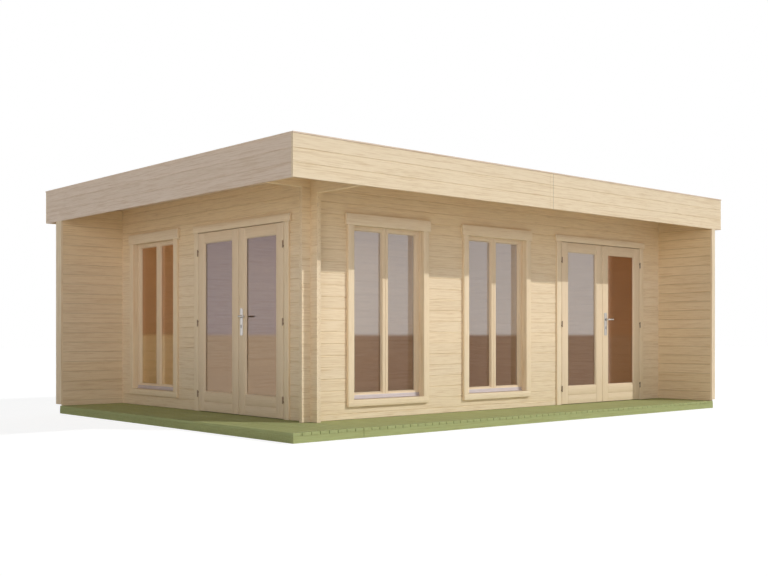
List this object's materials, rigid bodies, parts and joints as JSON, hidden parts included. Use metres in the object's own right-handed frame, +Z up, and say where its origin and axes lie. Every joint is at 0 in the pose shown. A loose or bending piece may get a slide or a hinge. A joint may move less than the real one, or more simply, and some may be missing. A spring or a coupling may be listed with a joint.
{
  "type": "wooden garden house",
  "caption": "Log garden house with a flat canopy roof over front and side terraces, double glazed doors with levers that swing outward, and tall fixed windows.",
  "frame": {"origin": "on the ground, under the middle of the roof's outline", "axes": "+X along the front from the side terrace to the closed end, +Y from the front to the back, +Z up"},
  "size_m": [6.742, 4.961, 2.635],
  "materials": {
    "log_wood": "raw planed spruce logs",
    "fascia_wood": "raw planed spruce boards",
    "trim_wood": "raw planed spruce boards",
    "joinery_wood": "raw laminated spruce",
    "roof_wood": "sawn spruce",
    "floor_board": "planed spruce boards",
    "impregnated_board": "green impregnated pine, grooved boards",
    "impregnated_beam": "green impregnated pine beams",
    "roof_sheet": "dark roofing sheet",
    "edge_strip": "planed spruce strip",
    "glass": "clear insulating glass",
    "drip_metal": "anodised strip",
    "hinge_metal": "dark bronze finish",
    "handle_metal": "satin steel"
  },
  "bodies": {
    "house": {"foundation_frame": "impregnated_beam", "floor": "floor_board", "deck_frames": "impregnated_beam", "decking": "impregnated_board", "front_wall_lower": "log_wood", "front_wall_piers": "log_wood", "front_wall_upper": "log_wood", "left_wall_lower": "log_wood", "left_wall_piers": "log_wood", "left_wall_upper": "log_wood", "back_wall": "log_wood", "right_wall": "log_wood", "front_and_back_top_logs": "log_wood", "side_top_logs": "log_wood", "wing_end_boards": "fascia_wood", "roof_joists": "roof_wood", "roof_boards": "roof_wood", "roof_covering": "roof_sheet", "front_fascia": "fascia_wood", "back_fascia": "fascia_wood", "side_fascias": "fascia_wood", "roof_edge_trim": "edge_strip", "window_frames": "joinery_wood", "window_sashes": "joinery_wood", "window_glass": "glass", "window_trims": "trim_wood", "window_drip_bars": "drip_metal", "front_door_jambs": "joinery_wood", "front_door_head_and_sill": "joinery_wood", "side_door_jambs": "joinery_wood", "side_door_head_and_sill": "joinery_wood", "door_trims": "trim_wood", "door_hinge_posts": "hinge_metal"},
    "front_left_leaf": {"front_left_leaf": "joinery_wood", "front_left_glass": "glass", "front_left_hinges": "hinge_metal"},
    "front_right_leaf": {"front_right_leaf": "joinery_wood", "front_right_glass": "glass", "front_right_hinges": "hinge_metal", "front_lock_plates": "handle_metal"},
    "front_lever": {"front_lever": "handle_metal"},
    "side_left_leaf": {"side_left_leaf": "joinery_wood", "side_left_glass": "glass", "side_left_hinges": "hinge_metal"},
    "side_right_leaf": {"side_right_leaf": "joinery_wood", "side_right_glass": "glass", "side_right_hinges": "hinge_metal", "side_lock_plates": "handle_metal"},
    "side_lever": {"side_lever": "handle_metal"}
  },
  "joints": [
    {"name": "front_left_swing", "type": "hinge", "parent": "house", "child": "front_left_leaf", "pos_m": [1.1385, -1.72, 0.097], "axis": [0, 0, -1], "range_deg": [0, 110]},
    {"name": "front_right_swing", "type": "hinge", "parent": "house", "child": "front_right_leaf", "pos_m": [2.7075, -1.72, 0.097], "axis": [0, 0, 1], "range_deg": [0, 110]},
    {"name": "side_left_swing", "type": "hinge", "parent": "house", "child": "side_left_leaf", "pos_m": [-2.6085, 0.286, 0.097], "axis": [0, 0, -1], "range_deg": [0, 110]},
    {"name": "side_right_swing", "type": "hinge", "parent": "house", "child": "side_right_leaf", "pos_m": [-2.6085, -1.283, 0.097], "axis": [0, 0, 1], "range_deg": [0, 110]},
    {"name": "front_lever_turn", "type": "hinge", "parent": "front_right_leaf", "child": "front_lever", "pos_m": [1.9865, -1.7125, 1.108], "axis": [0, 1, 0], "range_deg": [0, 40], "stiffness_Nm_per_rad": 1.5, "springref_deg": -28.65},
    {"name": "side_lever_turn", "type": "hinge", "parent": "side_right_leaf", "child": "side_lever", "pos_m": [-2.601, -0.562, 1.108], "axis": [1, 0, 0], "range_deg": [0, 40], "stiffness_Nm_per_rad": 1.5, "springref_deg": -28.65}
  ]
}
